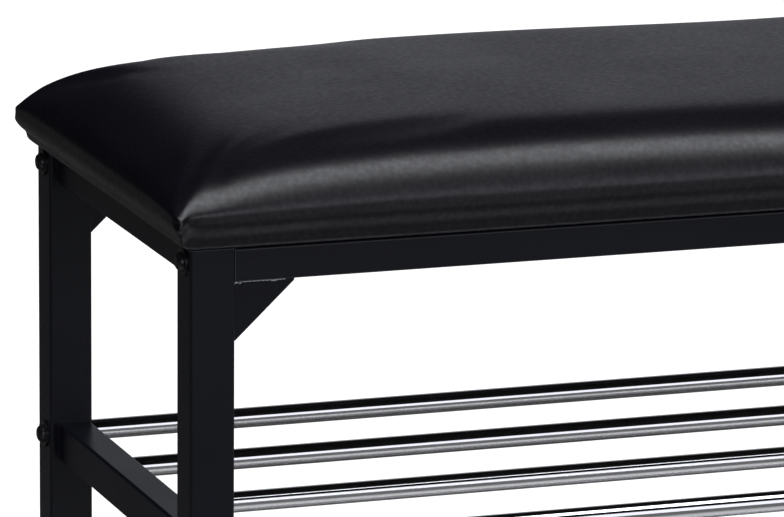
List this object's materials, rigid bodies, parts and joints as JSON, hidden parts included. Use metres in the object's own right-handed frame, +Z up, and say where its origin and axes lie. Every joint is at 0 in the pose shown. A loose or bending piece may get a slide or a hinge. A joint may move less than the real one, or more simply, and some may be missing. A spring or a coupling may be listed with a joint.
{
  "type": "entryway bench",
  "caption": "Entryway bench with a padded black imitation-leather seat on a square-tube steel frame, over open shelves made of bright round rods.",
  "frame": {"origin": "on the floor, under the centre of the bench", "axes": "+X along the bench to the right, +Y from the front to the back, +Z up"},
  "size_m": [0.87, 0.317, 0.46],
  "materials": {
    "frame_powder_coat": "black semi-gloss powder coat with a fine orange-peel texture",
    "rod_chrome": "bright chrome plating",
    "bolt_black": "black oxide, satin",
    "zinc_hardware": "bright zinc plating",
    "foot_plastic": "black moulded plastic",
    "board_plywood": "raw plywood",
    "seat_foam": "open-cell foam",
    "seat_vinyl": "smooth black imitation leather, satin",
    "dust_cloth": "black non-woven cloth"
  },
  "bodies": {
    "root": {"cover_staples": "zinc_hardware", "foot_glide_front_left": "foot_plastic", "foot_glide_front_right": "foot_plastic", "foot_glide_rear_left": "foot_plastic", "foot_glide_rear_right": "foot_plastic", "front_seat_rail": "frame_powder_coat", "gusset_front_left": "frame_powder_coat", "gusset_front_right": "frame_powder_coat", "gusset_rear_left": "frame_powder_coat", "gusset_rear_right": "frame_powder_coat", "leg_front_left": "frame_powder_coat", "leg_front_right": "frame_powder_coat", "leg_rear_left": "frame_powder_coat", "leg_rear_right": "frame_powder_coat", "lower_shelf_end_rail_left": "frame_powder_coat", "lower_shelf_end_rail_right": "frame_powder_coat", "lower_shelf_rod_front": "rod_chrome", "lower_shelf_rod_front_middle": "rod_chrome", "lower_shelf_rod_rear": "rod_chrome", "lower_shelf_rod_rear_middle": "rod_chrome", "rear_seat_rail": "frame_powder_coat", "seat_board": "board_plywood", "seat_cover": "seat_vinyl", "seat_dust_cover": "dust_cloth", "seat_foam": "seat_foam", "seat_rail_bolts": "bolt_black", "seat_rail_end_nuts": "zinc_hardware", "seat_rail_washers": "bolt_black", "seat_screws": "zinc_hardware", "seat_tee_nuts": "zinc_hardware", "shelf_rod_bolts": "bolt_black", "shelf_rod_end_nuts": "zinc_hardware", "shelf_rod_washers": "bolt_black", "top_end_rail_left": "frame_powder_coat", "top_end_rail_right": "frame_powder_coat", "upper_shelf_end_rail_left": "frame_powder_coat", "upper_shelf_end_rail_right": "frame_powder_coat", "upper_shelf_rod_front": "rod_chrome", "upper_shelf_rod_front_middle": "rod_chrome", "upper_shelf_rod_rear": "rod_chrome", "upper_shelf_rod_rear_middle": "rod_chrome"}
  },
  "joints": []
}
